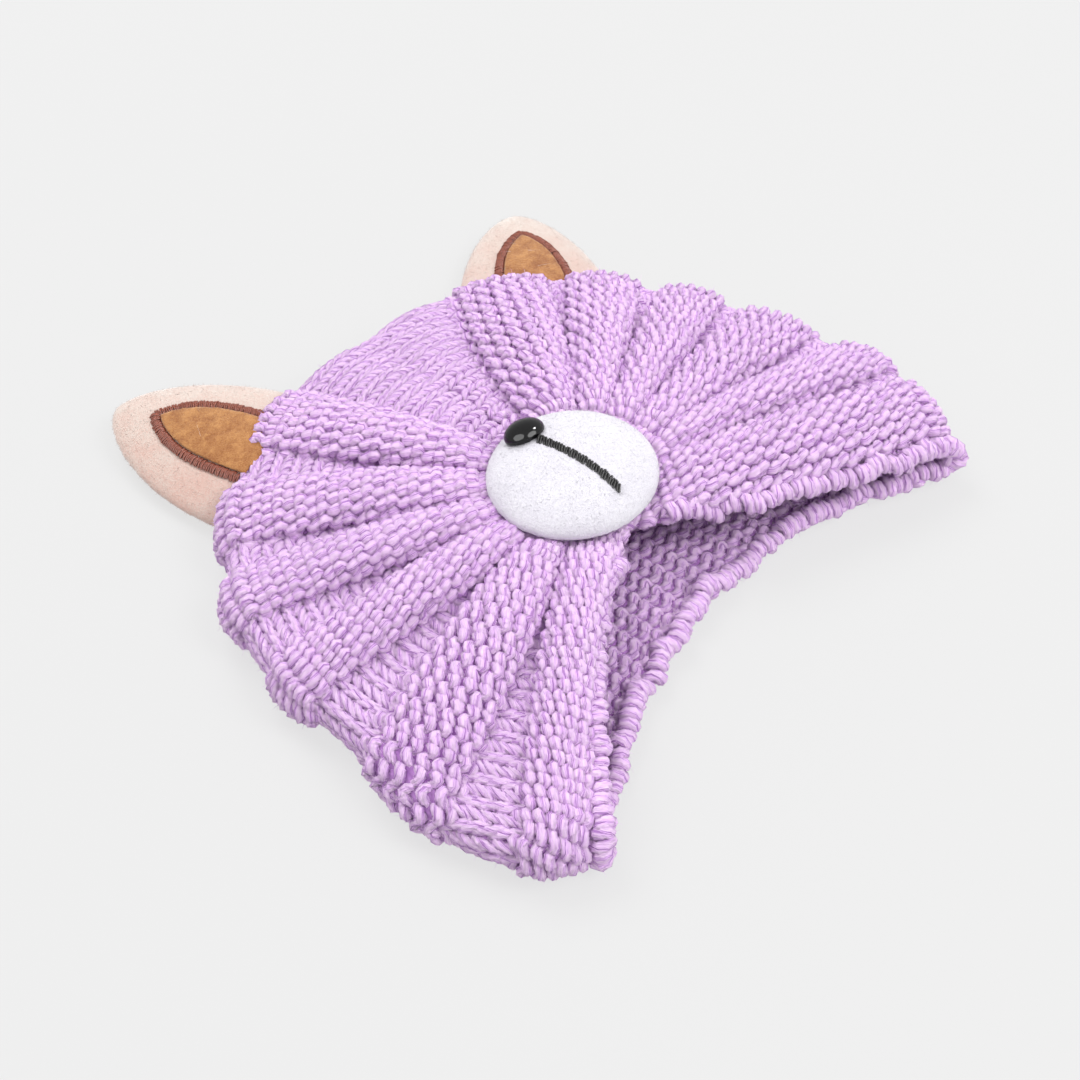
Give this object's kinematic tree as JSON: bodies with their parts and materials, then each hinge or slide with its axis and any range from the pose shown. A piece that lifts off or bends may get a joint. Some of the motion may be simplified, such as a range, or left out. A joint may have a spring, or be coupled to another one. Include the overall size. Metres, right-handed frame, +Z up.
{
  "type": "knitted baby turban hat with ears",
  "caption": "Hood-like chunky knitted turban whose welts are gathered at the front under a padded muzzle with a nose and a stitched mouth, with two plush ears at the crown, lying flat.",
  "frame": {"origin": "middle of the underside of the turban as it lies face up on a surface", "axes": "+Z up out of the surface, +Y towards the crown, -Y out of the opening for the head, +X across to the longer side"},
  "size_m": [0.2226, 0.2186, 0.0392],
  "materials": {
    "lilac_yarn": "plied acrylic yarn, chunky knit",
    "white_plush": "short plush",
    "black_gloss": "polished",
    "black_thread": "satin stitch",
    "cream_plush": "short plush",
    "tan_felt": "brushed felt",
    "brown_thread": "satin stitch"
  },
  "bodies": {
    "root": {"knit_body": "lilac_yarn", "muzzle_pad": "white_plush", "nose": "black_gloss", "mouth_stitch": "black_thread", "ear_left": "cream_plush", "ear_left_inner": "tan_felt", "ear_left_border": "brown_thread", "ear_right": "cream_plush", "ear_right_inner": "tan_felt", "ear_right_border": "brown_thread"}
  },
  "joints": []
}
